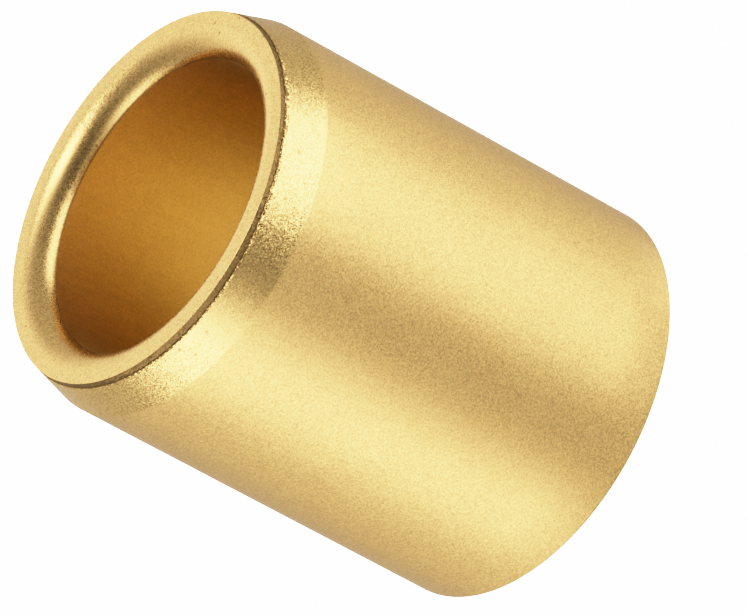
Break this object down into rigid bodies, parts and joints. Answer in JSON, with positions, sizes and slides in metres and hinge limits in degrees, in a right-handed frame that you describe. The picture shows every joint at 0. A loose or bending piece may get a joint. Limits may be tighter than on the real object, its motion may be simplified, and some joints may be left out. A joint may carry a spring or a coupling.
{
  "type": "sleeve bushing",
  "caption": "Plain sintered bronze sleeve bushing with a through bore, a rounded bore mouth and a shallow lead-in cone at one end.",
  "frame": {"origin": "centre of the plain end face, on the bore axis", "axes": "+Z along the bore axis, from the plain end to the coned mouth end; X and Y are any two radii at right angles"},
  "size_m": [0.027, 0.027, 0.032],
  "materials": {
    "sintered_bronze": "fine-grained satin, oil-impregnated sintered bronze"
  },
  "bodies": {
    "root": {"sleeve": "sintered_bronze"}
  },
  "joints": []
}
